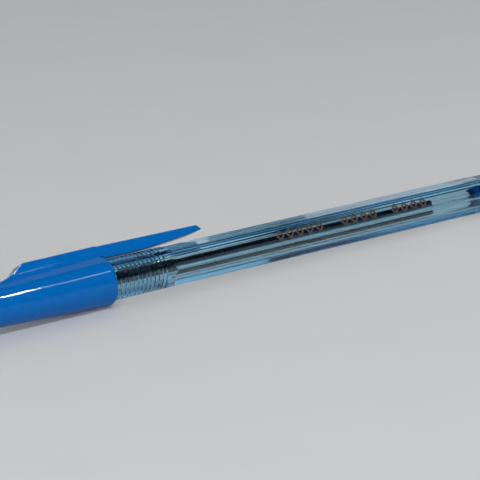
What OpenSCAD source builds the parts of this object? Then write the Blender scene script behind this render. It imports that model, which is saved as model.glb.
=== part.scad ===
// Capped stick ballpoint pen lying on a flat surface.
// The pen's axis runs along X, with the writing end and cap towards -X and the tail towards +X.
// The origin is below the middle of the pen, at the level of the cap's lowest point.

/* [Overall] */
// Length of the capped pen
pen_l = 146; // [138:0.5:156]
// Sides of a true round surface
round_fn = 96; // [48:8:128]

/* [Barrel] */
// Radius of the round grip and of the smooth collar behind it
barrel_r = 4.15; // [4.12:0.01:4.2]
// Distance from the pen's axis to a facet
facet_d = 3.62; // [3.6:0.01:3.64]
// Length of the barrel from its tail end to its front shoulder
barrel_l = 111.6; // [108:0.2:114]
// Length of the faceted stretch
facet_l = 79.8; // [74:0.1:82]
// Length over which the facets run out into the round collar
facet_runout = 1.1; // [0.9:0.1:2]
// Radius of the long bore that the refill lies in
bore_r = 2.3; // [2.1:0.05:2.6]
// Radius of the narrow front bore that guides the refill
guide_r = 1.45; // [1.4:0.01:1.6]
// Length of the narrow front bore behind the shoulder
guide_l = 5; // [3:0.5:8]

/* [Grip rings] */
// Number of raised rings
ring_count = 31; // [24:1:31]
// Distance from ring to ring
ring_pitch = 0.955; // [0.9:0.005:0.96]
// Height of a ring above the groove beside it
ring_h = 0.18; // [0.1:0.01:0.3]
// Width of a ring's crest
ring_crest = 0.52; // [0.2:0.02:0.6]
// Width of the flat bottom of the groove between two rings
ring_valley = 0.12; // [0.1:0.02:0.3]
// Smooth collar between the last groove's centre and the facets
collar_l = 1.6; // [1:0.1:3]
// Radius of the barrel at its front shoulder, under the cap
shoulder_r = 3.45; // [3.3:0.05:3.5]

/* [Threaded spigot and nose cone] */
// Radius of the spigot that the nose cone screws on
spigot_r = 2.75; // [2.6:0.05:2.8]
// Length of that spigot
spigot_l = 4.4; // [4:0.1:5]
// Radial clearance of the screw joint
thread_gap = 0.05; // [0.03:0.01:0.08]
// Length of the nose cone
cone_l = 18.5; // [18:0.1:19]
// Radius of the nose cone at its rear
cone_rear_r = 3.4; // [3.3:0.02:3.4]
// Radius of the nose cone at its front
cone_front_r = 1.5; // [1.45:0.05:1.7]
// Length of the straight band at the rear of the nose cone
cone_band_l = 1.2; // [0.8:0.1:2]

/* [Refill] */
// Outer radius of the refill tube
tube_r = 1.3; // [1.2:0.05:1.35]
// Radius of the ink column
ink_r = 0.75; // [0.7:0.01:0.8]
// Distance from the tail end of the barrel back to the open end of the tube
tube_short = 3.2; // [3:0.1:10]
// Distance from the tail end of the barrel back to the end of the ink
ink_short = 13.4; // [12:0.1:60]
// Radius of the metal point's body
point_r = 1.15; // [1.05:0.01:1.18]
// Length of the metal point in front of its holder
point_l = 8.95; // [8.9:0.05:9.5]
// Radius of the writing ball
ball_r = 0.35; // [0.3:0.05:0.4]
// Radial clearance of the ball in its socket
ball_gap = 0.02; // [0.015:0.005:0.03]

/* [Cap] */
// Length of the cap
cap_l = 49.6; // [49:0.1:50.5]
// Largest outer radius, just behind the lip
cap_r = 4.93; // [4.9:0.01:5]
// Loss of outer radius for each millimetre towards the closed end
cap_taper = 0.0337; // [0.033:0.0001:0.034]
// Length of the rounded lip at the mouth
lip_l = 1; // [0.6:0.1:1.2]
// Radius of the bore at the mouth
mouth_r = 4.25; // [4.22:0.01:4.3]
// Thickness of the tapered wall
cap_wall = 0.66; // [0.6:0.01:0.67]
// Thickness of the closed end
cap_end_wall = 1.2; // [1:0.1:1.6]
// Radius of the rounding on the closed end
cap_end_round = 2; // [1.5:0.1:2.4]

/* [Fin and clip] */
// Lean of the fin and clip from the vertical, towards +Y
clip_lean = 25; // [20:1:30]
// Width of the fin
fin_w = 3.8; // [3.6:0.1:4]
// Height of the fin above the pen's axis at its front
fin_front_h = 6.78; // [6.7:0.01:6.9]
// Height of the fin above the pen's axis at its rear
fin_rear_h = 6.95; // [6.9:0.01:7.1]
// Length of the fin's top, which ends just short of the rim
fin_top_l = 16.6; // [15:0.1:17]
// Distance from the rim back to the fin's rear face
fin_set_back = 0.9; // [0.8:0.1:1.5]
// Radius of the concave ramp at the front of the fin
ramp_r = 15; // [14:0.5:17]
// Width of the clip arm
arm_w = 3.1; // [2.6:0.1:3.3]
// Height of the arm's outer edge above the pen's axis at its root
arm_root_h = 6.87; // [6.8:0.01:6.9]
// Height of the arm's outer edge above the pen's axis near its tip
arm_tip_h = 6.69; // [6.6:0.01:6.8]
// Length of the arm beyond the rim of the cap
arm_l = 23.4; // [20:0.1:24]
// Radial depth of the arm just behind the cap's rim
arm_root_d = 2.62; // [2.4:0.02:2.62]
// Diameter of the arm's round root in the fin
root_dia = 1.88; // [1.8:0.01:1.9]
// Gap between the arm's round root and its seat in the fin
arm_gap = 0.05; // [0.04:0.01:0.08]

/* [End plug] */
// Length of the plug's flange behind the barrel
flange_l = 3.4; // [3:0.1:5]
// Step from the barrel's facets in to the flange's
flange_step = 0.08; // [0.02:0.02:0.2]
// Length of the plug inside the barrel
plug_l = 2.4; // [2:0.1:4.4]
// Chamfer round the end of the flange
flange_chamfer = 0.5; // [0.2:0.1:1]

/* [Foil marks] */
// Lozenges in each group, from the grip towards the tail
group_counts = [5, 4, 4];
// Distance from the facets' start to each group
group_starts = [25, 41.2, 54.3];
// Distance from lozenge to lozenge in a group
mark_pitch = 2.45; // [2.4:0.05:3]
// Length of a lozenge along the pen
mark_l = 2.1; // [1.6:0.1:2.2]
// Height of a lozenge across the facet
mark_h = 2.6; // [2:0.1:3]
// Width of a lozenge's stroke
mark_stroke = 0.45; // [0.3:0.05:0.6]
// Thickness of the foil
foil_t = 0.04; // [0.03:0.01:0.06]

/* [Hidden] */

axis_h = cap_r;
hex_turn = 30;
facets = 6;
fit = 0.01;
past = 1;

// Places along the pen
tail_x = pen_l / 2;
barrel_end_x = tail_x - flange_l;
facet_x = barrel_end_x - facet_l;
shoulder_x = barrel_end_x - barrel_l;
spigot_x = shoulder_x - spigot_l;
last_ring_x = facet_x - collar_l - ring_pitch / 2;
closed_x = -pen_l / 2;
rim_x = closed_x + cap_l;
lip_x = rim_x - lip_l;

// The barrel narrows under the cap
taper_x = rim_x + 1;
function grip_r(x) = x > taper_x ? barrel_r
    : barrel_r - (barrel_r - shoulder_r) * (taper_x - x) / (taper_x - shoulder_x);

// Behind the collar the rod swells a little, so that the facets meet in full corners
corner_r = facet_d / cos(hex_turn) + fit;

// Outer radius of the cap's cone, and its bore, at a place along the pen
function cap_outer(x) = cap_r - cap_taper * (lip_x - x);
cap_in_x = closed_x + cap_end_wall;
cap_in_edge = 0.6;
bore_taper_x = rim_x - 2;
lip_drop = 0.28;

// Nose cone and refill
cone_gap = 0.02;
cone_edge = 0.2;
cone_bore_r = spigot_r - 0.7;
seat_r_out = tube_r + 0.1;
seat_l = 2.5;
cone_rear_x = shoulder_x - cone_gap;
cone_front_x = shoulder_x - cone_l;
nose_l = 5;
seat_x = cone_front_x + nose_l;
holder_front_x = seat_x + thread_gap;
holder_l = 6;
holder_plug_l = 3.5;
holder_channel_r = 0.4;
tube_front_x = holder_front_x + holder_l;
shank_r = 0.8;
shank_l = 3;
ink_channel_r = 0.25;
ball_show = 0.12;
ball_x = holder_front_x - point_l;
socket_edge_x = ball_x - ball_r + 2 * ball_show;
socket_wall = 0.07;
point_cone_l = 2.6;

// Fin and clip
fin_rear_x = rim_x - fin_set_back;
fin_front_x = fin_rear_x - fin_top_l;
ramp_top = 41;
ramp_bottom = 11;
ramp_steps = 10;
fin_foot_h = 3.6;
arm_tip_x = rim_x + arm_l;
root_r = root_dia / 2;
rim_gap = 0.3;

// Rise of the arm's lower edge, as [distance from the rim, rise above the edge at the rim]
arm_rises = [[7, 0], [11.2, 0.08], [16, 0.52], [19.6, 0.8]];
arm_tip_rise = 0.58;
arm_tip_slant = 0.9;
root_h = arm_root_h - root_r;
seat_r = root_r + arm_gap;

mark_turn = 60;

// Turns a shape that stands on Z into one that lies along the pen's axis
module on_axis() {
    translate([0, 0, axis_h])
        rotate([0, 90, 0])
            children();
}

// Turns points of [radius, place along the pen] round the pen's axis
module turned(points) {
    on_axis()
        rotate_extrude($fn = round_fn)
            polygon(points);
}

// A straight rod or bore along the pen's axis
module rod(r, from_x, to_x) {
    on_axis()
        translate([0, 0, from_x])
            cylinder(r = r, h = to_x - from_x, $fn = round_fn);
}

// A hexagonal rod that lies on one of its facets
module hex_rod(r, from_x, to_x) {
    on_axis()
        translate([0, 0, from_x])
            rotate([0, 0, hex_turn])
                cylinder(r = r, h = to_x - from_x, $fn = facets);
}

// Stands an outline of [place along the pen, height above the axis] up in the clip's leaning plane
module leaning(width) {
    translate([0, 0, axis_h])
        rotate([90 - clip_lean, 0, 0])
            linear_extrude(height = width, center = true)
                children();
}

// Outline of the ringed grip, one raised ring after another
function ring_points(x) = let (r = grip_r(x), half = ring_pitch / 2 - ring_valley / 2) [
    [r - ring_h, x - half],
    [r, x - ring_crest / 2],
    [r, x + ring_crest / 2],
    [r - ring_h, x + half]
];

module grip_outline() {
    polygon(concat(
        [[0, shoulder_x], [shoulder_r, shoulder_x]],
        [for (i = [ring_count - 1 : -1 : 0], p = ring_points(last_ring_x - i * ring_pitch)) p],
        [[barrel_r, last_ring_x + ring_pitch - ring_crest / 2], [barrel_r, barrel_end_x], [0, barrel_end_x]]
    ));
}

// Cuts away, above every facet, an outline of [place along the pen, height above the axis]
module milled(outline) {
    translate([0, 0, axis_h])
        for (i = [0 : facets - 1])
            rotate([i * 360 / facets, 0, 0])
                rotate([90, 0, 0])
                    linear_extrude(height = 2 * corner_r, center = true)
                        polygon(outline);
}

module barrel() {
    above = corner_r + past;
    color([0.55, 0.75, 0.85, 0.5])
        difference() {
            union() {
                on_axis() rotate_extrude($fn = round_fn) grip_outline();
                rod(spigot_r, spigot_x, shoulder_x + past);
            }
            milled([[facet_x, barrel_r], [facet_x + facet_runout, facet_d], [barrel_end_x + past, facet_d],
                    [barrel_end_x + past, above], [facet_x, above]]);
            rod(bore_r, shoulder_x + guide_l, barrel_end_x + past);
            rod(guide_r, spigot_x - past, shoulder_x + guide_l + past);
        }
}

module end_plug() {
    flange_d = facet_d - flange_step;
    color([0.07, 0.36, 0.65])
        difference() {
            union() {
                rod(bore_r - fit, barrel_end_x - plug_l, barrel_end_x + past);
                hex_rod(flange_d / cos(hex_turn), barrel_end_x, tail_x);
            }
            milled([[tail_x - flange_chamfer, flange_d], [tail_x + past, flange_d - flange_chamfer - past],
                    [tail_x + past, corner_r], [tail_x - flange_chamfer, corner_r]]);
        }
}

// One hollow lozenge, with the same stroke on all its sides
module lozenge() {
    half = [mark_l / 2, mark_h / 2];
    inner = 1 - mark_stroke * norm(half) / (half[0] * half[1]);
    function diamond(size) = size * [[-half[0], 0], [0, -half[1]], [half[0], 0], [0, half[1]]];
    difference() {
        polygon(diamond(1));
        polygon(diamond(inner));
    }
}

module foil_stamp() {
    color([0.45, 0.33, 0.25])
        translate([0, 0, axis_h])
            rotate([mark_turn, 0, 0])
                translate([facet_x, 0, facet_d])
                    linear_extrude(height = foil_t)
                        for (g = [0 : len(group_counts) - 1], i = [0 : group_counts[g] - 1])
                            translate([group_starts[g] + (i + 0.5) * mark_pitch, 0])
                                lozenge();
}

module fin() {
    ramp_cx = fin_front_x - ramp_r * sin(ramp_top);
    ramp_cy = fin_front_h + ramp_r * cos(ramp_top);
    ramp = [for (i = [0 : ramp_steps])
        let (a = ramp_bottom + (ramp_top - ramp_bottom) * i / ramp_steps)
        [ramp_cx + ramp_r * sin(a), ramp_cy - ramp_r * cos(a)]];
    difference() {
        leaning(fin_w)
            polygon(concat(ramp, [[fin_rear_x, fin_rear_h], [fin_rear_x, fin_foot_h],
                                  [ramp[0][0], fin_foot_h - 0.2]]));
        leaning(fin_w + past)
            translate([fin_rear_x, root_h])
                circle(r = seat_r, $fn = round_fn);
    }
}

module cap() {
    end_r = cap_outer(closed_x);
    dome = [for (a = [0 : 15 : 90])
        [end_r - cap_end_round + cap_end_round * sin(a), closed_x + cap_end_round * (1 - cos(a))]];
    color([0.08, 0.38, 0.67])
        difference() {
            union() {
                turned(concat([[0, closed_x]], dome, [[cap_r, lip_x],
                    [cap_r - lip_drop * 0.3, lip_x + lip_l * 0.6], [cap_r - lip_drop, rim_x], [0, rim_x]]));
                fin();
            }
            turned([[0, cap_in_x], [cap_outer(cap_in_x) - cap_wall - cap_in_edge, cap_in_x],
                    [cap_outer(cap_in_x) - cap_wall, cap_in_x + cap_in_edge],
                    [mouth_r, bore_taper_x], [mouth_r, rim_x + past], [0, rim_x + past]]);
        }
}

module clip() {
    foot = arm_root_h - arm_root_d;
    over_rim = root_h - root_r;
    tip = [arm_tip_x, foot + arm_rises[len(arm_rises) - 1][1] + arm_tip_rise];
    clear_x = rim_x + rim_gap;
    color([0.07, 0.36, 0.65])
        union() {
            leaning(arm_w)
                translate([fin_rear_x, root_h])
                    circle(r = root_r, $fn = round_fn);
            leaning(arm_w)
                polygon(concat([[fin_rear_x, over_rim], [clear_x, over_rim], [clear_x, foot]],
                               [for (p = arm_rises) [rim_x + p[0], foot + p[1]]],
                               [tip, [arm_tip_x - arm_tip_slant, arm_tip_h], [fin_rear_x, arm_root_h]]));
        }
}

module nose_cone() {
    wall_in_r = spigot_r + thread_gap;
    color([0.72, 0.72, 0.7])
        difference() {
            turned([[0, cone_front_x], [cone_front_r - cone_edge, cone_front_x],
                    [cone_front_r, cone_front_x + 2 * cone_edge], [cone_rear_r, cone_rear_x - cone_band_l],
                    [cone_rear_r, cone_rear_x], [0, cone_rear_x]]);
            rod(wall_in_r, spigot_x - cone_edge, cone_rear_x + past);
            turned([[0, seat_x], [seat_r_out, seat_x], [seat_r_out, seat_x + seat_l],
                    [cone_bore_r, spigot_x - cone_edge], [cone_bore_r, spigot_x], [0, spigot_x]]);
            rod(point_r + thread_gap, cone_front_x - past, seat_x + past);
        }
}

module refill_tube() {
    color([0.85, 0.9, 0.92, 0.5])
        difference() {
            rod(tube_r, tube_front_x, barrel_end_x - tube_short);
            rod(ink_r + fit, tube_front_x - past, barrel_end_x - tube_short + past);
        }
}

module ink_column() {
    color([0.04, 0.05, 0.1])
        rod(ink_r, tube_front_x + holder_plug_l, barrel_end_x - ink_short);
}

module tip_holder() {
    color([0.85, 0.87, 0.88])
        difference() {
            union() {
                rod(tube_r, holder_front_x, tube_front_x);
                rod(ink_r, tube_front_x - past, tube_front_x + holder_plug_l);
            }
            rod(shank_r + fit, holder_front_x - past, holder_front_x + shank_l);
            rod(holder_channel_r, holder_front_x + shank_l - past, tube_front_x + holder_plug_l + past);
        }
}

module writing_tip() {
    color([0.75, 0.66, 0.4])
        difference() {
            turned([[0, socket_edge_x], [ball_r + socket_wall, socket_edge_x],
                    [point_r, ball_x + point_cone_l], [point_r, holder_front_x],
                    [shank_r, holder_front_x], [shank_r, holder_front_x + shank_l],
                    [0, holder_front_x + shank_l]]);
            on_axis()
                translate([0, 0, ball_x])
                    sphere(r = ball_r + ball_gap, $fn = round_fn);
            rod(ink_channel_r, ball_x, holder_front_x + shank_l + past);
        }
}

module ball() {
    color([0.5, 0.5, 0.52])
        on_axis()
            translate([0, 0, ball_x])
                sphere(r = ball_r, $fn = round_fn);
}

barrel();
end_plug();
foil_stamp();
cap();
clip();
nose_cone();
refill_tube();
ink_column();
tip_holder();
writing_tip();
ball();
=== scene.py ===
"""Looks of a capped stick ballpoint pen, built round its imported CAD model.

Shapes are in millimetres until they become meshes. The lights are in metres.
"""
import math

import bmesh
import bpy
from mathutils import Matrix, Vector


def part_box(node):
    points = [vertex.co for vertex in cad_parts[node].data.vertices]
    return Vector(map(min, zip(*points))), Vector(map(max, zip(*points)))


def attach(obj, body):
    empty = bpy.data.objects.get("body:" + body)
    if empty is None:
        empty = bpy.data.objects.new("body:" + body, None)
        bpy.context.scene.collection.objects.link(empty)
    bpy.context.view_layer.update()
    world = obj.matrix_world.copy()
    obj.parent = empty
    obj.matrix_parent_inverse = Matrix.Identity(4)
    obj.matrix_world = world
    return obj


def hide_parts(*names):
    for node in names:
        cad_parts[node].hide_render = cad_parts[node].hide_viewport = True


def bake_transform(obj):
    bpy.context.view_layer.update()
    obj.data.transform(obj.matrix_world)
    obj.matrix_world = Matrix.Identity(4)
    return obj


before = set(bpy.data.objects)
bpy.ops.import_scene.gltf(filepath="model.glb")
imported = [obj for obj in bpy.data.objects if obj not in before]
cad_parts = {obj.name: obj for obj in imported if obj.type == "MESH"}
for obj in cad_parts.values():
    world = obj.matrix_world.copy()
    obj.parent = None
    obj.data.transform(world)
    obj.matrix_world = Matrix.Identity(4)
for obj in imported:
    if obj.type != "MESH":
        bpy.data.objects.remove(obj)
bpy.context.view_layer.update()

MM = 0.001
SIXTH = math.radians(60)


def low_x(node):
    """Place of a CAD node's front end along the pen."""
    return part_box(node)[0].x / MM


def high_x(node):
    """Place of a CAD node's tail end along the pen."""
    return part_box(node)[1].x / MM


# Places along the pen, from the CAD nodes
AXIS_H = (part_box("ball")[0].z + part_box("ball")[1].z) / 2 / MM
SPIGOT_X, BARREL_END_X = low_x("barrel"), high_x("barrel")
TAIL_X, PLUG_X = high_x("end_plug"), low_x("end_plug")
CLOSED_X, RIM_X = low_x("cap"), high_x("cap")
ARM_TIP_X = high_x("clip")
CONE_FRONT_X, CONE_REAR_X = low_x("nose_cone"), high_x("nose_cone")
TUBE_FRONT_X, TUBE_END_X = low_x("refill_tube"), high_x("refill_tube")
INK_FRONT_X, INK_END_X = low_x("ink_column"), high_x("ink_column")
HOLDER_X, HOLDER_END_X = low_x("tip_holder"), high_x("tip_holder")
TIP_X, SHANK_END_X = low_x("writing_tip"), high_x("writing_tip")
BALL_X = (low_x("ball") + high_x("ball")) / 2

# Barrel, as in the CAD
COLLAR_R = 4.15
ROD_R = 4.15
FACET_D = 3.62
CORNER_R = 0.25
FACET_X = BARREL_END_X - 79.8
RUNOUT_L = 1.1
SHOULDER_X = BARREL_END_X - 111.6
SHOULDER_R = 3.45
BORE_R = 2.3
GUIDE_R = 1.45
GUIDE_L = 5.0
TAPER_X = RIM_X + 1.0
RING_PITCH = 0.955
RING_COUNT = 31
RING_H = 0.18
LAST_GROOVE_X = FACET_X - 1.6
THREAD_CREST_R = 2.74
THREAD_ROOT_R = 2.56
THREAD_LEAD = 0.8

# Cap, fin and clip arm, as in the CAD. Heights are above the pen's axis, in the clip's leaning plane
CAP_R = 4.93
CAP_TAPER = 0.0337
LIP_X = RIM_X - 1.0
LIP_DROP = 0.28
MOUTH_R = 4.25
CAP_WALL = 0.66
CAP_END_WALL = 1.2
CAP_END_ROUND = 2.0
CLIP_LEAN = math.radians(25)
FIN_W = 3.8
FIN_REAR_X = RIM_X - 0.9
FIN_FRONT_X = FIN_REAR_X - 16.6
FIN_FRONT_H = 6.78
FIN_REAR_H = 6.95
RAMP_R = 15.0
RAMP_TOP = math.radians(41)
ARM_W = 3.1
ARM_ROOT_H = 6.87
ARM_TIP_H = 6.69
ARM_FOOT_H = ARM_ROOT_H - 2.62
ARM_EDGE_R = 0.26
# Bends of the arm's lower edge: place behind the rim, and height above the foot
ARM_EDGE = ((-3.0, 0.0), (0.0, 0.0), (7.0, 0.0), (11.2, 0.08), (16.0, 0.52), (19.6, 0.8), (23.4, 1.38))
FIN_FILLET = 1.3  # how widely the fin's sides flow into the body

# Refill, as in the CAD
TUBE_R = 1.3

# Points in the ring of each section: so many for each facet's flat and its corner
FLAT_STEPS = (-1.0, -0.96, -0.6, 0.0, 0.6, 0.96)
CORNER_STEPS = 8
PER_SIXTH = len(FLAT_STEPS) + CORNER_STEPS
ROUND = [i * SIXTH / PER_SIXTH for i in range(6 * PER_SIXTH)]
RING_STEP = SIXTH / PER_SIXTH
FIRST_ANGLE = -RING_STEP * len(FLAT_STEPS) / 2


# ---------------------------------------------------------------- meshes

def at(x, r, phi):
    """The point at x along the pen and r from its axis, at an angle from +Z towards +Y."""
    return (x, r * math.sin(phi), AXIS_H + r * math.cos(phi))


def skin(name, rings, closed_ring=False, sharp=40):
    """Joins rings of points into one closed surface. Its ends are closed by faces unless it closes on itself."""
    count = len(rings[0])
    points = [Vector(p) * MM for ring in rings for p in ring]
    faces = []
    last = len(rings) if closed_ring else len(rings) - 1
    for i in range(last):
        a, b = i * count, (i + 1) % len(rings) * count
        for j in range(count):
            k = (j + 1) % count
            faces.append((a + j, a + k, b + k, b + j))
    if not closed_ring:
        faces.append(tuple(range(count - 1, -1, -1)))
        faces.append(tuple(range(len(points) - count, len(points))))
    return solid(name, points, faces, sharp)


def solid(name, points, faces, sharp=40):
    """A mesh object with outward normals, smooth but for edges sharper than an angle."""
    mesh = bpy.data.meshes.new(name)
    mesh.from_pydata([tuple(p) for p in points], [], faces)
    bm = bmesh.new()
    bm.from_mesh(mesh)
    bmesh.ops.recalc_face_normals(bm, faces=bm.faces)
    bm.to_mesh(mesh)
    bm.free()
    mesh.polygons.foreach_set("use_smooth", [True] * len(mesh.polygons))
    mesh.set_sharp_from_angle(angle=math.radians(sharp))
    piece = bpy.data.objects.new(name, mesh)
    bpy.context.scene.collection.objects.link(piece)
    return piece


def lathe(name, profile, closed_ring=False, angles=ROUND, sharp=40):
    """Turns a profile of (place, radius) round the pen's axis."""
    return skin(name, [[at(x, r, phi) for phi in angles] for x, r in profile], closed_ring, sharp)


def rounded(profile, radius, steps=4):
    """Rounds the inner corners of a profile of (place, radius), and leaves its two ends."""
    out = [profile[0]]
    for before, corner, after in zip(profile, profile[1:], profile[2:]):
        b, c, a = Vector(before), Vector(corner), Vector(after)
        reach = min(radius, (b - c).length * 0.45, (a - c).length * 0.45)
        start, end = c + (b - c).normalized() * reach, c + (a - c).normalized() * reach
        for i in range(steps + 1):
            t = i / steps
            out.append(tuple(start * (1 - t) ** 2 + c * 2 * t * (1 - t) + end * t * t))
    out.append(profile[-1])
    return out


def smoothstep(low, high, value):
    """0 below low, 1 above high, and a smooth rise between them."""
    t = min(max((value - low) / (high - low), 0.0), 1.0)
    return t * t * (3 - 2 * t)


# ---------------------------------------------------------------- barrel

def facet_radius(d, psi):
    """Radius at an angle from a facet's middle, for facets at distance d with softened corners between them."""
    psi = abs(psi)
    c = (d - CORNER_R) / math.cos(SIXTH / 2)
    if psi <= flat_end(d):
        return d / math.cos(psi)
    delta = SIXTH / 2 - psi
    return c * math.cos(delta) + math.sqrt(CORNER_R ** 2 - (c * math.sin(delta)) ** 2)


def flat_end(d):
    """Angle from a facet's middle at which its softened corner begins."""
    c = (d - CORNER_R) / math.cos(SIXTH / 2)
    return math.atan2(c * math.sin(SIXTH / 2), d)


def hex_ring(x, d, rod_r):
    """Section of a rod of radius rod_r with six facets at distance d. The facets' edges fall on points."""
    least_edge = math.radians(0.4)  # keeps the points apart where the section is nearly round
    edge = max(min(flat_end(d), math.acos(min(d / rod_r, 1.0))), least_edge)
    angles = [edge * t for t in FLAT_STEPS]
    angles += [edge + (SIXTH - 2 * edge) * k / CORNER_STEPS for k in range(CORNER_STEPS)]
    ring = []
    for side in range(6):
        for psi in angles:
            from_middle = psi if psi <= SIXTH / 2 else psi - SIXTH
            r = min(rod_r, facet_radius(d, from_middle))
            ring.append(at(x, r, side * SIXTH + psi))
    return ring


def round_ring(x, r):
    """Round section whose points face those of hex_ring."""
    return [at(x, r, FIRST_ANGLE + i * RING_STEP) for i in range(6 * PER_SIXTH)]


def round_rings(profile):
    """Round sections along a profile of (place, radius)."""
    return [round_ring(x, r) for x, r in profile]


def grip_r(x):
    """Radius over the rings' crests: the barrel narrows under the cap."""
    if x > TAPER_X:
        return ROD_R
    return ROD_R - (ROD_R - SHOULDER_R) * (TAPER_X - x) / (TAPER_X - SHOULDER_X)


def grip_rings():
    """Sections of the ringed grip from its last groove to its first, each crest a little crowned."""
    side_top, side_foot, crown = 0.58, 0.92, 0.01
    steps = (0.03, 0.06, 0.09, 0.12, 0.15, 0.18, 0.21, 0.25, 0.35)
    places = [0.0, *steps, 0.5, *[1 - t for t in reversed(steps)]]
    rings = []
    for i in range(RING_COUNT):
        for t in places:
            x = LAST_GROOVE_X - (i + t) * RING_PITCH
            from_crest = abs(2 * t - 1)
            drop = RING_H * smoothstep(side_top, side_foot, from_crest) + crown * from_crest
            rings.append(round_ring(x, grip_r(x) - drop))
    return rings


def thread_ring(x, fade):
    """Section of the thread at x. fade is 0 where the ridge is gone and 1 where it has its full height."""
    flank = 0.9  # over 0.5, so that the wave is cut off to a flat crest and a flat root
    ring = []
    for j in range(6 * PER_SIXTH):
        phi = FIRST_ANGLE + j * RING_STEP
        wave = math.cos(2 * math.pi * x / THREAD_LEAD + phi)
        ridge = min(max(0.5 + flank * wave, 0.0), 1.0)
        ring.append(at(x, THREAD_ROOT_R + (THREAD_CREST_R - THREAD_ROOT_R) * ridge * fade, phi))
    return ring


def thread_rings(first_x, last_x):
    """Sections of the threaded spigot, which fades out at both ends."""
    sections_per_turn, fade_near, fade_far = 12, 0.1, 0.7
    count = round((first_x - last_x) / THREAD_LEAD * sections_per_turn)
    rings = []
    for i in range(count + 1):
        x = first_x + (last_x - first_x) * i / count
        rise = smoothstep(last_x + fade_near, last_x + fade_far, x)
        fall = smoothstep(first_x - fade_far, first_x - fade_near, x)
        rings.append(thread_ring(x, rise * (1 - fall)))
    return rings


def facet_rings():
    """Sections of the faceted stretch from its tail end to the collar, with the milled run-out."""
    bevel = 0.06
    end_x = BARREL_END_X
    rings = [hex_ring(end_x, FACET_D - bevel, ROD_R - bevel), hex_ring(end_x - bevel, FACET_D, ROD_R)]
    rings += [hex_ring(end_x - 1.0, FACET_D, ROD_R), hex_ring(FACET_X + RUNOUT_L + 0.5, FACET_D, ROD_R)]
    steps = 16
    for i in range(steps + 1):
        x = FACET_X + RUNOUT_L * (1 - i / steps)
        d = COLLAR_R - (COLLAR_R - FACET_D) * (x - FACET_X) / RUNOUT_L
        rings.append(hex_ring(x, min(d, ROD_R), ROD_R))
    return rings


def collar_rings():
    """Sections of the round collar between the facets and the grip, and its soft edge at the last groove."""
    return round_rings([(FACET_X - 0.03, COLLAR_R), (FACET_X - 0.5, COLLAR_R), (LAST_GROOVE_X + 0.4, COLLAR_R),
                        (LAST_GROOVE_X + 0.3, COLLAR_R - 0.01), (LAST_GROOVE_X + 0.13, COLLAR_R - 0.05)])


def spigot_rings():
    """Sections of the shoulder and the threaded spigot, as far as the edge of its end face."""
    bevel = 0.15
    rings = round_rings([(SHOULDER_X + bevel, SHOULDER_R), (SHOULDER_X, SHOULDER_R - bevel),
                         (SHOULDER_X, THREAD_ROOT_R + 0.1)])
    rings += thread_rings(SHOULDER_X - 0.1, SPIGOT_X + 0.2)
    rings.append(round_ring(SPIGOT_X, THREAD_ROOT_R - 0.2))
    return rings


def bore_rings():
    """Sections of the inside, from the spigot's end to the tail: the narrow guide for the refill, and the bore."""
    guide_end = SHOULDER_X + GUIDE_L
    bevel = 0.1
    return round_rings([(SPIGOT_X, GUIDE_R + 0.2), (SPIGOT_X + 0.2, GUIDE_R), (guide_end - 0.05, GUIDE_R),
                        (guide_end, GUIDE_R + bevel), (guide_end + 0.02, BORE_R - bevel),
                        (guide_end + bevel, BORE_R), (BARREL_END_X - bevel, BORE_R),
                        (BARREL_END_X, BORE_R + bevel)])


def barrel():
    """The clear barrel, round its outside from the tail to the spigot and back through its inside."""
    rings = facet_rings() + collar_rings() + grip_rings() + spigot_rings() + bore_rings()
    return skin("clear_barrel", rings, closed_ring=True, sharp=24)


def plug_spigot_rings():
    """Sections of the part of the plug inside the barrel, with a shallow groove near the flange."""
    x0 = BARREL_END_X
    return round_rings([(PLUG_X, 0.9), (PLUG_X, 1.75), (PLUG_X + 0.12, 2.02), (PLUG_X + 0.45, 2.2),
                        (PLUG_X + 0.8, 2.27), (x0 - 1.2, 2.28), (x0 - 1.1, 2.14), (x0 - 0.8, 2.12),
                        (x0 - 0.7, 2.27), (x0 + 0.005, 2.28)])


def end_plug():
    """The plug's spigot, flange with softened edges and slightly dished end."""
    flange_d = FACET_D - 0.08
    edge = 0.16
    x0, x1 = BARREL_END_X, TAIL_X
    rings = plug_spigot_rings()
    rings += [hex_ring(x0 + 0.005, flange_d - 0.1, ROD_R - 0.2), hex_ring(x0 + 0.1, flange_d, ROD_R - 0.1)]
    for t in (0.0, 0.2, 0.45, 0.7, 0.88, 1.0):
        inward = edge * (1 - math.sqrt(1 - t * t))
        rings.append(hex_ring(x1 - 0.35 - edge + edge * t, flange_d - inward, ROD_R - 0.1 - inward))
    rings.append(hex_ring(x1 - 0.15, flange_d - 0.4, ROD_R - 0.5))
    rings.append(hex_ring(x1, flange_d - 0.62, ROD_R - 0.75))
    rings += round_rings([(x1, 2.1), (x1 - 0.12, 1.9), (x1 - 0.14, 0.4)])
    return skin("hex_end_plug", rings, sharp=30)


# ---------------------------------------------------------------- foil marks

def lozenge(centre_x):
    """The 24 points of one hollow lozenge, in metres: six levels of four, from its outer foot to its inner one."""
    half_l, half_h, stroke = 1.05, 1.3, 0.45
    inner = 1 - stroke * math.hypot(half_l, half_h) / (half_l * half_h)
    sunk, proud, soft = 0.012, 0.03, 0.05
    onto_front_facet = Matrix.Rotation(SIXTH, 3, "X")
    points = []
    for scale, height in ((1, -sunk), (1, proud * 0.5), (1 - soft, proud), (inner + soft, proud),
                          (inner, proud * 0.5), (inner, -sunk)):
        for along, across in ((-1, 0), (0, -1), (1, 0), (0, 1)):
            local = Vector((0, across * half_h * scale, FACET_D + height))
            turned = onto_front_facet @ local
            points.append(Vector((centre_x + along * half_l * scale, turned.y, turned.z + AXIS_H)) * MM)
    return points


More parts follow.
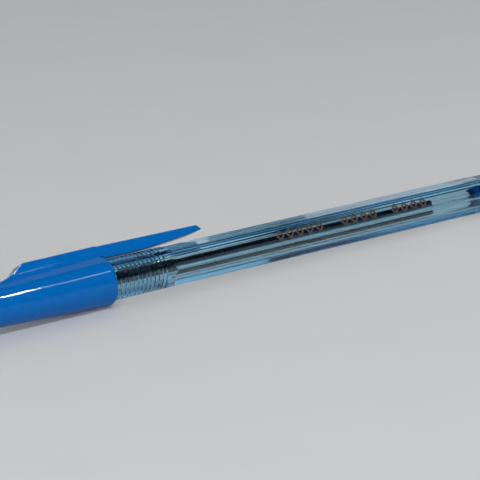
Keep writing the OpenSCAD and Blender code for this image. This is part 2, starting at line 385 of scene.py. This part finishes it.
def foil_marks():
    """Three groups of hollow lozenges on the facet that faces the front, pressed a little into the plastic."""
    groups = ((25.0, 5), (41.2, 4), (54.3, 4))  # distance from the start of the facets, and how many
    pitch = 2.45
    points, faces = [], []
    for start, count in groups:
        for i in range(count):
            base = len(points)
            points += lozenge(FACET_X + start + (i + 0.5) * pitch)
            for level in range(6):
                for k in range(4):
                    a, b = base + level * 4, base + (level + 1) % 6 * 4
                    faces.append((a + k, a + (k + 1) % 4, b + (k + 1) % 4, b + k))
    return solid("foil_lozenges", points, faces, sharp=30)


# ---------------------------------------------------------------- cap and clip

def cap_outer(x):
    """Outer radius of the cap's round body, with the domed closed end and the rounded lip."""
    r = CAP_R - CAP_TAPER * (LIP_X - x) if x < LIP_X else CAP_R
    if x < CLOSED_X + CAP_END_ROUND:
        back = CAP_END_ROUND - (x - CLOSED_X)
        r -= CAP_END_ROUND - math.sqrt(max(CAP_END_ROUND ** 2 - back ** 2, 0.0))
    if x > LIP_X:
        t = (x - LIP_X) / (RIM_X - LIP_X)
        r -= LIP_DROP * (1 - math.sqrt(max(1 - t ** 3, 0.0)))
    return r


def fin_height(x):
    """Height of the fin's top above the axis: a concave ramp, and then a nearly level top."""
    if x > FIN_FRONT_X:
        t = (x - FIN_FRONT_X) / (FIN_REAR_X - FIN_FRONT_X)
        return FIN_FRONT_H + (FIN_REAR_H - FIN_FRONT_H) * t
    centre_x = FIN_FRONT_X - RAMP_R * math.sin(RAMP_TOP)
    centre_h = FIN_FRONT_H + RAMP_R * math.cos(RAMP_TOP)
    if x < centre_x:
        return 0.0
    return centre_h - math.sqrt(RAMP_R ** 2 - (x - centre_x) ** 2)


def smooth_min(a, b, k):
    """The smaller of a and b, rounded off where they differ by less than k."""
    h = max(k - abs(a - b), 0.0) / k
    return min(a, b) - h * h * k / 4


def cap_distance(r, delta, body_r, fin_h, half_w, edge_r):
    """Signed distance to the cap's section at radius r and angle delta from the fin's middle."""
    body = r - body_r
    across, up = abs(r * math.sin(delta)), r * math.cos(delta)
    if fin_h <= 0 or up < 0:
        return body
    qx, qy = across - (half_w - edge_r), up - (fin_h - edge_r)
    fin = math.hypot(max(qx, 0.0), max(qy, 0.0)) + min(max(qx, qy), 0.0) - edge_r
    return smooth_min(body, fin, FIN_FILLET)


def cap_radius(delta, body_r, fin_h, half_w, edge_r):
    """Outermost radius of the cap's section at an angle from the fin's middle, found by halving."""
    low, high = body_r - 0.01, max(body_r, fin_h) + 1.5
    if cap_distance(low + 0.012, delta, body_r, fin_h, half_w, edge_r) > 0:
        return body_r
    for _ in range(30):
        middle = (low + high) / 2
        if cap_distance(middle, delta, body_r, fin_h, half_w, edge_r) > 0:
            high = middle
        else:
            low = middle
    return high


def cap_angles():
    """Angles from the fin's middle: close together where its sides and fillets are."""
    half = [0, 3, 6, 9, 11, 12.5, 13.5, 14.2, 14.8, 15.3, 15.8, 16.4, 17, 17.7, 18.5, 19.3, 20.2, 21.1, 22, 23,
            24, 25, 26, 27, 28, 29.5, 31, 33, 35.5, 38]
    half += [42 + 4.6 * i for i in range(31)]
    half = [math.radians(a) for a in half if a < 179]
    return half + [math.pi] + [2 * math.pi - a for a in reversed(half[1:])]


def cap_stations():
    """Places along the cap for its sections, from the closed end to near the fin's rear edge."""
    dome = [CLOSED_X + CAP_END_ROUND * (1 - math.cos(math.radians(a))) for a in (12, 24, 36, 48, 60, 72, 82, 90)]
    plain = [dome[-1] + i * 2.4 for i in range(1, 8)]
    ramp_start = FIN_FRONT_X - RAMP_R * math.sin(RAMP_TOP)
    ramp = [ramp_start + (FIN_FRONT_X - ramp_start) * i / 26 for i in range(27)]
    plain = [x for x in plain if x < ramp[0] - 0.8]
    crest = [FIN_FRONT_X + t for t in (0.08, 0.2, 0.4, 0.8, 2, 4, 6, 8, 10, 12, 13.5, 14.5, 15.1)]
    return dome + plain + ramp + crest


CAP_ANGLES = cap_angles()


def cap_section(x, fin_h, half_w):
    """Section of the cap's body and fin. The fin's upper edges are crisper near the ramp."""
    crisp_r, softer_by = 0.08, 0.2
    edge_r = crisp_r + softer_by * smoothstep(FIN_FRONT_X - 0.5, FIN_FRONT_X + 5, x)
    return [at(x, cap_radius(a, cap_outer(x), fin_h, half_w, edge_r), a + CLIP_LEAN) for a in CAP_ANGLES]


def cap_circles(profile):
    """Round sections of the cap along a profile of (place, radius)."""
    return [[at(x, r, a + CLIP_LEAN) for a in CAP_ANGLES] for x, r in profile]


def cap_body_rings():
    """Sections of the outside from the closed end to just before the fin's rear edge, with a softened crest."""
    fin_reach = 1.6  # how far under the body's surface the fin's top begins to raise its fillets
    crest_drop, crest_reach = 0.07, 0.9
    rings = cap_circles([(CLOSED_X, 0.5), (CLOSED_X, cap_outer(CLOSED_X + 0.01))])
    for x in cap_stations():
        h = fin_height(x)
        softened = crest_drop * (1 - smoothstep(0.0, crest_reach, abs(x - FIN_FRONT_X)))
        rings.append(cap_section(x, h - softened if h > cap_outer(x) - fin_reach else 0.0, FIN_W / 2))
    return rings


def fin_rear_rings():
    """Sections of the fin's rounded rear edge, and of the body just behind it."""
    edge = 0.25
    rings = []
    for t in (0.0, 0.35, 0.65, 0.87, 1.0):
        inward = edge * (1 - math.sqrt(1 - t * t))
        rings.append(cap_section(FIN_REAR_X - edge + edge * t, FIN_REAR_H - inward, FIN_W / 2 - inward))
    return rings + cap_circles([(FIN_REAR_X + 0.002, cap_outer(FIN_REAR_X))])


def cap_lip_rings():
    """Sections of the rounded lip, as far as the mouth's edge."""
    places = [LIP_X + t * (RIM_X - LIP_X) for t in (0.2, 0.35, 0.5, 0.65, 0.78, 0.88, 0.95, 0.99)]
    rings = cap_circles([(x, cap_outer(x)) for x in places])
    return rings + cap_circles([(RIM_X, cap_outer(RIM_X) - 0.03), (RIM_X, MOUTH_R + 0.12),
                                (RIM_X - 0.04, MOUTH_R + 0.04), (RIM_X - 0.14, MOUTH_R)])


def cap_bore_rings():
    """Sections of the inside, from behind the mouth's edge to the closed end."""
    end_x = CLOSED_X + CAP_END_WALL
    end_r = CAP_R - CAP_TAPER * (LIP_X - end_x) - CAP_WALL
    return cap_circles([(RIM_X - 2, MOUTH_R), (end_x + 0.6, end_r), (end_x + 0.2, end_r - 0.15),
                        (end_x, end_r - 0.6), (end_x, 0.4)])


def cap():
    """The cap with its fin, from the closed end along the outside and back through the inside."""
    return skin("cap_moulding", cap_body_rings() + fin_rear_rings() + cap_lip_rings() + cap_bore_rings(), sharp=32)


def arm_section(bottom, top, half_w, edge_r):
    """A rounded rectangle in the clip's leaning plane, from a bottom point to a top point of (place, height)."""
    height = math.dist(bottom, top)
    ring = []
    for cu, cv, start in ((1, 1, 0), (-1, 1, 90), (-1, -1, 180), (1, -1, 270)):
        for i in range(6):
            a = math.radians(start + 18 * i)
            across = cu * (half_w - edge_r) + edge_r * math.cos(a)
            up = height / 2 + cv * (height / 2 - edge_r) + edge_r * math.sin(a)
            t = up / height
            x = bottom[0] + (top[0] - bottom[0]) * t
            h = bottom[1] + (top[1] - bottom[1]) * t
            y = across * math.cos(CLIP_LEAN) + h * math.sin(CLIP_LEAN)
            z = -across * math.sin(CLIP_LEAN) + h * math.cos(CLIP_LEAN)
            ring.append((x, y, z + AXIS_H))
    return ring


def arm_bottom(x):
    """Height of the arm's lower edge above the axis."""
    place = x - RIM_X
    for (x0, h0), (x1, h1) in zip(ARM_EDGE, ARM_EDGE[1:]):
        if place <= x1:
            return ARM_FOOT_H + h0 + (h1 - h0) * (place - x0) / (x1 - x0)
    return ARM_FOOT_H + ARM_EDGE[-1][1]


def arm_bottom_softened(x):
    """Height of the arm's lower edge with its bends eased, as an average over the places near x."""
    return sum(arm_bottom(x + d) for d in (-1.6, -0.8, 0, 0.8, 1.6)) / 5


def arm_top(x):
    """Height of the arm's straight upper edge."""
    return ARM_ROOT_H + (ARM_TIP_H - ARM_ROOT_H) * (x - FIN_REAR_X) / (ARM_TIP_X - FIN_REAR_X)


def arm_tip_rings(body_end):
    """Sections from body_end to the slanted tip, each leaning a little more, with a softened last edge."""
    corner_x = ARM_TIP_X - 0.9
    rings = []
    for t, inward in ((0.3, 0), (0.6, 0), (0.85, 0.0), (0.92, 0.02), (0.96, 0.06), (0.985, 0.12), (1.0, 0.22)):
        bottom_x = body_end + (ARM_TIP_X - body_end) * t
        top_x = body_end + (corner_x - body_end) * t
        bottom = (bottom_x, arm_bottom(bottom_x) + inward * 0.6)
        top = (top_x, arm_top(top_x) - inward * 0.6)
        rings.append(arm_section(bottom, top, ARM_W / 2 - inward, ARM_EDGE_R - inward * 0.2))
    return rings


def clip():
    """The sprung arm, from its root inside the fin to its slanted tip."""
    root_x = FIN_REAR_X - 0.8
    root_bottom_h = 4.72
    body_end = ARM_TIP_X - 2.4
    steps = 28
    rings = []
    for i in range(steps + 1):
        x = root_x + (body_end - root_x) * i / steps
        bottom_h = arm_bottom_softened(x)
        if x < RIM_X + 0.1:
            bottom_h = max(bottom_h, root_bottom_h)
        rings.append(arm_section((x, bottom_h), (x, arm_top(x)), ARM_W / 2, ARM_EDGE_R))
    return skin("clip_arm", rings + arm_tip_rings(body_end), sharp=40)


# ---------------------------------------------------------------- nose cone and refill

def nose_cone():
    """The turned cone: a taper, a plain band at its rear, and inside it room for the spigot and the refill."""
    rear_r, front_r, band = 3.4, 1.5, 1.2
    socket_r, throat_r, refill_r, hole_r = 2.8, 2.05, 1.4, 1.2
    seat_x, throat_x, socket_x = CONE_FRONT_X + 5, CONE_FRONT_X + 7.5, SPIGOT_X - 0.2
    outside = [(CONE_FRONT_X, hole_r), (CONE_FRONT_X, front_r - 0.2), (CONE_FRONT_X + 0.4, front_r),
               (CONE_REAR_X - band, rear_r), (CONE_REAR_X, rear_r), (CONE_REAR_X, socket_r)]
    inside = [(CONE_REAR_X, socket_r), (socket_x, socket_r), (socket_x, throat_r), (throat_x, refill_r),
              (seat_x, refill_r), (seat_x, hole_r), (CONE_FRONT_X, hole_r)]
    profile = rounded(outside, 0.12)[:-1] + rounded(inside, 0.06)[:-1]
    return lathe("turned_nose_cone", profile, closed_ring=True, sharp=30)


def refill_tube():
    """The clear sleeve, its bore a little wider than the CAD's so that the ink wets it."""
    bore = 0.8
    profile = [(TUBE_FRONT_X, bore), (TUBE_FRONT_X, TUBE_R - 0.03), (TUBE_FRONT_X + 0.04, TUBE_R),
               (TUBE_END_X - 0.04, TUBE_R), (TUBE_END_X, TUBE_R - 0.03), (TUBE_END_X, bore + 0.03),
               (TUBE_END_X - 0.03, bore)]
    return lathe("tube_sleeve", profile, closed_ring=True)


def ink_column():
    """Ink that wets the tube's bore, with a hollow meniscus at its tail end."""
    wet_r, hollow_r, hollow_depth = 0.805, 0.79, 0.35
    profile = [(INK_FRONT_X, 0.1), (INK_FRONT_X, 0.78), (INK_FRONT_X + 0.02, wet_r), (INK_END_X - 0.05, wet_r),
               (INK_END_X, wet_r - 0.01)]
    profile += [(INK_END_X - hollow_depth * math.sin(math.radians(a)), hollow_r * math.cos(math.radians(a)))
                for a in (15, 30, 45, 60, 75, 84)]
    return lathe("ink", profile)


def tip_holder():
    """The adapter that joins the refill tube to the point: a collar, and a spigot inside the tube."""
    socket_r, channel_r, socket_end = 0.82, 0.4, HOLDER_X + 3
    outside = [(HOLDER_X, socket_r), (HOLDER_X, TUBE_R), (TUBE_FRONT_X, TUBE_R), (TUBE_FRONT_X, 0.75),
               (HOLDER_END_X, 0.72), (HOLDER_END_X, channel_r)]
    inside = [(HOLDER_END_X, channel_r), (socket_end, channel_r), (socket_end, socket_r), (HOLDER_X, socket_r)]
    return lathe("white_tip_holder", rounded(outside, 0.08)[:-1] + rounded(inside, 0.04)[:-1], closed_ring=True)


def writing_tip():
    """The turned point, with its cone, body and shank, an ink channel and a seat for the ball."""
    body_r, cone_l, shank_r = 1.15, 2.6, 0.8
    lip_r, seat_r, channel_r = 0.42, 0.375, 0.25
    outside = [(TIP_X, seat_r), (TIP_X, lip_r), (BALL_X + cone_l, body_r), (HOLDER_X, body_r),
               (HOLDER_X, shank_r), (SHANK_END_X, shank_r), (SHANK_END_X, channel_r)]
    inside = [(SHANK_END_X, channel_r), (BALL_X + 0.38, channel_r), (BALL_X + 0.2, 0.32), (BALL_X, seat_r),
              (TIP_X, seat_r)]
    profile = rounded(outside, 0.07)[:-1] + inside[:-1]
    return lathe("turned_writing_tip", profile, closed_ring=True, sharp=30)


def ball():
    """The writing ball, as big as the CAD's."""
    r = (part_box("ball")[1].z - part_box("ball")[0].z) / 2 / MM
    steps = 24
    arc = [math.pi * (i + 0.5) / steps for i in range(steps)]
    angles = ROUND[::3]
    profile = [(BALL_X - r * math.cos(a), r * math.sin(a)) for a in arc]
    return lathe("carbide_ball", profile, angles=angles, sharp=60)


# ---------------------------------------------------------------- materials

def new_material(name):
    """A material, its node tree and its Principled shader."""
    material = bpy.data.materials.new(name)
    material.use_nodes = True
    tree = material.node_tree
    return material, tree, tree.nodes["Principled BSDF"]


def pattern(tree, scale, stretch=(1, 1, 1), detail=4.0):
    """A texture in the pen's own frame. scale is in features per metre. A small stretch lengthens them on an axis."""
    place = tree.nodes.new("ShaderNodeTexCoord")
    mapping = tree.nodes.new("ShaderNodeMapping")
    mapping.inputs["Scale"].default_value = stretch
    texture = tree.nodes.new("ShaderNodeTexNoise")
    texture.inputs["Scale"].default_value = scale
    texture.inputs["Detail"].default_value = detail
    tree.links.new(place.outputs["Object"], mapping.inputs["Vector"])
    tree.links.new(mapping.outputs["Vector"], texture.inputs["Vector"])
    return texture.outputs[0]


def remap(tree, value, low, high, out_low, out_high):
    """Maps a value from one range to another."""
    node = tree.nodes.new("ShaderNodeMapRange")
    for name, number in (("From Min", low), ("From Max", high), ("To Min", out_low), ("To Max", out_high)):
        node.inputs[name].default_value = number
    tree.links.new(value, node.inputs["Value"])
    return node.outputs["Result"]


def mix_colours(tree, factor, first, second):
    """Mixes two colours, each a plain tuple or a socket, by a factor that varies over the surface."""
    node = tree.nodes.new("ShaderNodeMix")
    node.data_type = "RGBA"
    tree.links.new(factor, node.inputs[0])
    for socket, colour in ((node.inputs[6], first), (node.inputs[7], second)):
        if isinstance(colour, tuple):
            socket.default_value = (*colour, 1)
        else:
            tree.links.new(colour, socket)
    return node.outputs[2]


def bump(tree, shader, height, depth_mm, below=None):
    """Gives the shader relief of a depth in mm, on top of the relief below if there is one."""
    node = tree.nodes.new("ShaderNodeBump")
    node.inputs["Strength"].default_value = 1.0
    node.inputs["Distance"].default_value = depth_mm * MM
    tree.links.new(height, node.inputs["Height"])
    if below is not None:
        tree.links.new(below, node.inputs["Normal"])
    tree.links.new(node.outputs["Normal"], shader.inputs["Normal"])
    return node.outputs["Normal"]


def clear_plastic(name, tint, density, ior, roughness, waviness):
    """Clear moulded plastic with faint flow lines, waviness mm deep, handling marks and a tinted body."""
    material, tree, shader = new_material(name)
    shader.inputs["Base Color"].default_value = (1, 1, 1, 1)
    shader.inputs["Transmission Weight"].default_value = 1.0
    shader.inputs["IOR"].default_value = ior
    marks = pattern(tree, 900, (0.25, 1, 1), detail=6)
    tree.links.new(remap(tree, marks, 0.35, 0.75, roughness, roughness * 2.5), shader.inputs["Roughness"])
    flow = pattern(tree, 260, (0.12, 1, 1), detail=3)
    below = bump(tree, shader, flow, waviness)
    bump(tree, shader, marks, waviness * 0.05, below=below)
    volume = tree.nodes.new("ShaderNodeVolumeAbsorption")
    volume.inputs["Color"].default_value = (*tint, 1)
    volume.inputs["Density"].default_value = density
    tree.links.new(volume.outputs["Volume"], tree.nodes["Material Output"].inputs["Volume"])
    return material


def blue_plastic(name, colour):
    """Opaque glossy moulded plastic: mottled pigment, lengthwise handling scratches and slightly rubbed edges."""
    roughness = 0.04
    material, tree, shader = new_material(name)
    shader.inputs["Specular IOR Level"].default_value = 0.15
    mottle = pattern(tree, 700, detail=5)
    pale = tuple(min(c * 1.05 + 0.003, 1.0) for c in colour)
    body = mix_colours(tree, remap(tree, mottle, 0.3, 0.7, 0, 1), tuple(c * 0.96 for c in colour), pale)
    edges = tree.nodes.new("ShaderNodeNewGeometry").outputs["Pointiness"]
    rubbed = tuple(min(c * 1.25 + 0.02, 1.0) for c in colour)
    shown = mix_colours(tree, remap(tree, edges, 0.53, 0.62, 0, 0.5), body, rubbed)
    tree.links.new(shown, shader.inputs["Base Color"])
    scratches = pattern(tree, 5200, (0.03, 1, 1), detail=3)
    tree.links.new(remap(tree, scratches, 0.45, 0.8, roughness, roughness * 1.9), shader.inputs["Roughness"])
    orange_peel = pattern(tree, 1500, detail=2)
    below = bump(tree, shader, orange_peel, 0.0005)
    bump(tree, shader, scratches, 0.0001, below=below)
    return material


def foil():
    """Hot-stamped bronze foil, grainy and worn thin in places."""
    material, tree, shader = new_material("bronze_foil")
    shader.inputs["Specular IOR Level"].default_value = 0.04
    grain = pattern(tree, 5200, detail=6)
    shown = mix_colours(tree, remap(tree, grain, 0.38, 0.66, 0, 1), (0.03, 0.023, 0.021), (0.1, 0.07, 0.062))
    tree.links.new(shown, shader.inputs["Base Color"])
    tree.links.new(remap(tree, grain, 0.3, 0.7, 0.6, 0.42), shader.inputs["Roughness"])
    bump(tree, shader, grain, 0.008)
    return material


def metal(name, colour, roughness, line_scale):
    """Turned metal: fine tool marks round the axis, and slight tarnish."""
    material, tree, shader = new_material(name)
    shader.inputs["Metallic"].default_value = 1.0
    tarnish = pattern(tree, 420, detail=6)
    dull = tuple(c * 0.82 for c in colour)
    shown = mix_colours(tree, remap(tree, tarnish, 0.35, 0.7, 0, 1), colour, dull)
    tree.links.new(shown, shader.inputs["Base Color"])
    marks = pattern(tree, line_scale, (1, 0.02, 0.02), detail=3)
    tree.links.new(remap(tree, marks, 0.3, 0.7, roughness, roughness * 2.2), shader.inputs["Roughness"])
    bump(tree, shader, marks, 0.002)
    return material


def ink_material():
    """Nearly black ink, a little uneven where it clings to the tube. It wets the wall, so it has no gloss."""
    material, tree, shader = new_material("ink")
    film = pattern(tree, 500, (0.2, 1, 1))
    shown = mix_colours(tree, film, (0.002, 0.002, 0.006), (0.005, 0.006, 0.016))
    tree.links.new(shown, shader.inputs["Base Color"])
    tree.links.new(remap(tree, film, 0.3, 0.7, 0.12, 0.25), shader.inputs["Roughness"])
    shader.inputs["Specular IOR Level"].default_value = 0.0
    bump(tree, shader, film, 0.002)
    return material


def white_plastic():
    """Satin white plastic with a slight mottle."""
    material, tree, shader = new_material("white_plastic")
    mottle = pattern(tree, 1200)
    shown = mix_colours(tree, mottle, (0.66, 0.68, 0.68), (0.78, 0.79, 0.78))
    tree.links.new(shown, shader.inputs["Base Color"])
    tree.links.new(remap(tree, mottle, 0.3, 0.7, 0.35, 0.5), shader.inputs["Roughness"])
    bump(tree, shader, mottle, 0.004)
    return material


def table_top():
    """Pale matt laminate, with a faint mottle."""
    material, tree, shader = new_material("table_top")
    mottle = pattern(tree, 60, detail=8)
    shown = mix_colours(tree, mottle, (0.61, 0.61, 0.612), (0.64, 0.64, 0.642))
    tree.links.new(shown, shader.inputs["Base Color"])
    shader.inputs["Roughness"].default_value = 0.6
    shader.inputs["Specular IOR Level"].default_value = 0.2
    bump(tree, shader, pattern(tree, 2500, detail=3), 0.01)
    return material


# ---------------------------------------------------------------- assembly

def finish_piece(piece, material, body, node):
    """Gives a piece its material, and lets it ride on its body in place of its CAD node."""
    piece.data.materials.append(material)
    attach(piece, body)
    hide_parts(node)


def finish_clip(arm, material):
    """The clip's arm bends from the fin to just past the cap's rim. Its transform is baked in, and it rides on no
    body.
    """
    arm.data.materials.append(material)
    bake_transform(arm)
    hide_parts("clip")


def build_refill(sleeve):
    """The refill with its clear sleeve, the cone that holds it and the writing ball."""
    tube_plastic = clear_plastic("refill_tube_plastic", tint=(0.75, 0.85, 0.9), density=60, ior=1.57,
                                 roughness=0.015, waviness=0.0003)
    cone_metal = metal("plated_metal", (0.72, 0.71, 0.68), roughness=0.1, line_scale=5000)
    brass = metal("tip_brass", (0.74, 0.6, 0.34), roughness=0.14, line_scale=9000)
    carbide = metal("ball_carbide", (0.34, 0.34, 0.36), roughness=0.12, line_scale=12000)
    finish_piece(sleeve, tube_plastic, "refill", "refill_tube")
    finish_piece(ink_column(), ink_material(), "refill", "ink_column")
    finish_piece(tip_holder(), white_plastic(), "refill", "tip_holder")
    finish_piece(nose_cone(), cone_metal, "nose_cone", "nose_cone")
    finish_piece(writing_tip(), brass, "refill", "writing_tip")
    finish_piece(ball(), carbide, "ball", "ball")


def build_pen():
    """Every piece. The clear ones cast no shadow, so that the light goes through them to the table."""
    barrel_plastic = clear_plastic("clear_blue_plastic", tint=(0.08, 0.71, 0.94), density=285, ior=1.56,
                                   roughness=0.012, waviness=0.0003)
    cap_plastic = blue_plastic("cap_plastic", (0.0, 0.098, 0.35))
    # Painted shade: the plug is the cap's blue darkened to well under half, standing in for the shade it lies in at
    # the barrel's tail.
    shaded_plug_plastic = blue_plastic("shaded_plug_plastic", (0.001, 0.035, 0.15))
    clear_barrel, sleeve = barrel(), refill_tube()
    for clear in (clear_barrel, sleeve):
        clear.visible_shadow = False
    finish_piece(clear_barrel, barrel_plastic, "barrel", "barrel")
    finish_piece(end_plug(), shaded_plug_plastic, "barrel", "end_plug")
    finish_piece(foil_marks(), foil(), "barrel", "foil_stamp")
    finish_piece(cap(), cap_plastic, "cap", "cap")
    build_refill(sleeve)
    finish_clip(clip(), cap_plastic)


# ---------------------------------------------------------------- stage, light and camera

def floor():
    """The table, tilted so that it touches the cap's lip and the tail end of the barrel, which is thinner."""
    rest_x, rest_z = BARREL_END_X, AXIS_H - FACET_D
    slope = math.atan2(rest_z, rest_x - LIP_X)
    half = 3.0
    gap = 0.00003  # keeps the table just clear of the cap
    mesh = bpy.data.meshes.new("table")
    mesh.from_pydata([(-half, -half, 0), (half, -half, 0), (half, half, 0), (-half, half, 0)], [], [(0, 1, 2, 3)])
    mesh.materials.append(table_top())
    table = bpy.data.objects.new("table", mesh)
    bpy.context.scene.collection.objects.link(table)
    pivot = Matrix.Translation((LIP_X * MM, 0, -gap))
    table.matrix_world = pivot @ Matrix.Rotation(-slope, 4, "Y")


def area_light(name, towards, distance, size, power, colour=(1, 1, 1), target=(-0.02, 0, 0.006)):
    """An area light in a direction from the target, turned to face it. size is (width, height); power is in watts."""
    data = bpy.data.lights.new(name, "AREA")
    data.shape = "RECTANGLE"
    data.size, data.size_y = size
    data.energy = power
    data.color = colour
    light = bpy.data.objects.new(name, data)
    away = Vector(towards).normalized()
    light.location = Vector(target) + away * distance
    light.rotation_euler = away.to_track_quat("Z", "Y").to_euler()
    bpy.context.scene.collection.objects.link(light)
    return light


def above_front(angle):
    """Direction up and to the front, turned towards the tail by an angle in degrees from square to the pen."""
    a = math.radians(angle)
    return (math.sin(a), -0.59 * math.cos(a), 0.808 * math.cos(a))


def world_light():
    """Even pale light, which only matt surfaces see."""
    world = bpy.data.worlds.new("studio")
    bpy.context.scene.world = world
    world.use_nodes = True
    background = world.node_tree.nodes["Background"]
    background.inputs["Color"].default_value = (0.94, 0.97, 1.0, 1)
    background.inputs["Strength"].default_value = 0.28
    world.cycles_visibility.glossy = False
    world.cycles_visibility.transmission = False


def lights():
    """Soft panels round the pen, and two strips for the streak on the cap.

    The two panels behind the pen are seen in reflections and through the clear plastic, and light no matt surface.
    The gap between them is the dark stretch along the barrel's lower edge. The strips are seen in reflections only.
    The front, key and fill lights fall on matt surfaces only. The backdrop has no such limits.
    """
    far, near = 1.3, 0.8  # distances, in metres
    behind = (0, 0.766, 0.643)
    streak_at = (-0.042, -0.0035, 0.0074)
    back = area_light("back", behind, far, size=(2.0, 1.5), power=6.6, target=(-0.174, 0, 0))
    back_right = area_light("back_right", behind, far, size=(0.42, 1.5), power=1.0, target=(1.146, 0, 0))
    key = area_light("key", above_front(0), far, size=(1.4, 0.1), power=8, target=(-0.22, 0, 0))
    front = area_light("front", (-0.2, -0.92, 0.33), far, size=(1.2, 0.5), power=11)
    fill = area_light("fill", (0, 0.7, 0.7), far, size=(1.5, 1.0), power=2.2)
    area_light("backdrop", (0.67, 0.743, 0.2), far, size=(0.9, 0.3), power=0.14, colour=(0.75, 0.92, 1.0))
    streak = area_light("streak", above_front(16.9), near, size=(0.155, 0.024), power=10, target=streak_at)
    tail = area_light("streak_tail", above_front(24.2), near, size=(0.05, 0.03), power=0.12, target=streak_at)
    for reflected in (back, back_right, streak, tail):
        reflected.visible_diffuse = False
    for soft in (front, key, fill):
        soft.visible_glossy = False
    for unseen_through in (front, key, fill, streak, tail):
        unseen_through.visible_transmission = False


def camera():
    """The camera stands low in front of the cap's end of the pen and is rolled a little clockwise."""
    turn, rise, roll = math.radians(-32.037), math.radians(13.860), math.radians(-4.5)
    back = Vector((math.sin(turn) * math.cos(rise), -math.cos(turn) * math.cos(rise), math.sin(rise)))
    level = Vector((math.cos(turn), math.sin(turn), 0))
    upright = back.cross(level)
    right = level * math.cos(roll) + upright * math.sin(roll)
    up = upright * math.cos(roll) - level * math.sin(roll)
    data = bpy.data.cameras.new("camera")
    data.lens = 169.51
    data.sensor_width = 36.0
    data.clip_start, data.clip_end = 0.01, 20
    view = bpy.data.objects.new("camera", data)
    axes = Matrix((right, up, back)).transposed().to_4x4()
    view.matrix_world = Matrix.Translation(Vector((-228.437, -378.215, 116.962)) * MM) @ axes
    bpy.context.scene.collection.objects.link(view)
    bpy.context.scene.camera = view


def render_depth():
    """Enough bounces for light to pass through the barrel, the tube and back.

    Caustic paths are off: the clear pieces cast no shadow, so the light through them would reach the table twice.
    """
    cycles = bpy.context.scene.cycles
    cycles.max_bounces = 32
    cycles.transmission_bounces = 28
    cycles.glossy_bounces = 16
    cycles.diffuse_bounces = 5
    cycles.caustics_refractive = False
    cycles.caustics_reflective = False
    bpy.context.scene.view_settings.view_transform = "Standard"


camera()
build_pen()
floor()
world_light()
lights()
render_depth()
